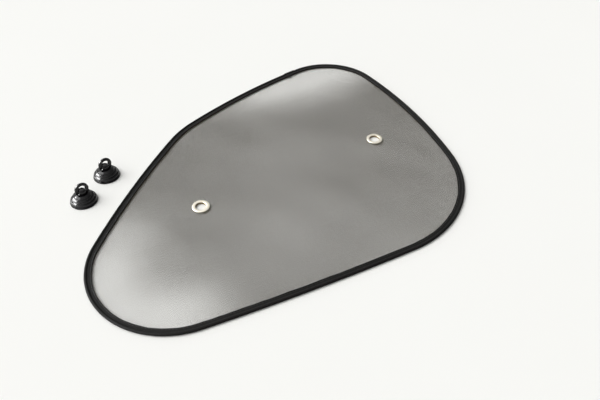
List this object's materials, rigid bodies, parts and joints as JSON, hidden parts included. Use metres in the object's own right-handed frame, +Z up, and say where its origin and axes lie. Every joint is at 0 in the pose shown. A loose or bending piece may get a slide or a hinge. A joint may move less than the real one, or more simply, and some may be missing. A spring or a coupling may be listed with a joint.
{
  "type": "car side window sunshade",
  "caption": "See-through mesh sunshade on a sprung wire hoop bound with tape, with eyelets, and suction cups with loop clips that hold it to a car's side window.",
  "frame": {"origin": "Under the middle of the shade's outline, on the surface that the shade and the suction cups lie on.", "axes": "+X runs along the shade's nearly straight lower edge, from its low front corner to its rear end. +Y runs up its height as it hangs on a window. +Z points up, off the surface."},
  "size_m": [0.44, 0.3568, 0.0239],
  "materials": {
    "cloth": "open black mesh, seen as grey",
    "tape": "matt black woven tape",
    "spring_wire": "drawn spring wire",
    "eyelet_metal": "pale bright plating",
    "cup_rubber": "glossy soft moulding",
    "clip_plastic": "glossy"
  },
  "bodies": {
    "root": {"mesh_cloth": "cloth", "edge_tape": "tape", "tape_lap": "tape", "wire_hoop": "spring_wire", "hoop_sleeve": "spring_wire", "front_eyelet": "eyelet_metal", "front_eyelet_washer": "eyelet_metal", "rear_eyelet": "eyelet_metal", "rear_eyelet_washer": "eyelet_metal", "front_suction_cup": "cup_rubber", "back_suction_cup": "cup_rubber", "front_loop_clip": "clip_plastic", "back_loop_clip": "clip_plastic"}
  },
  "joints": []
}
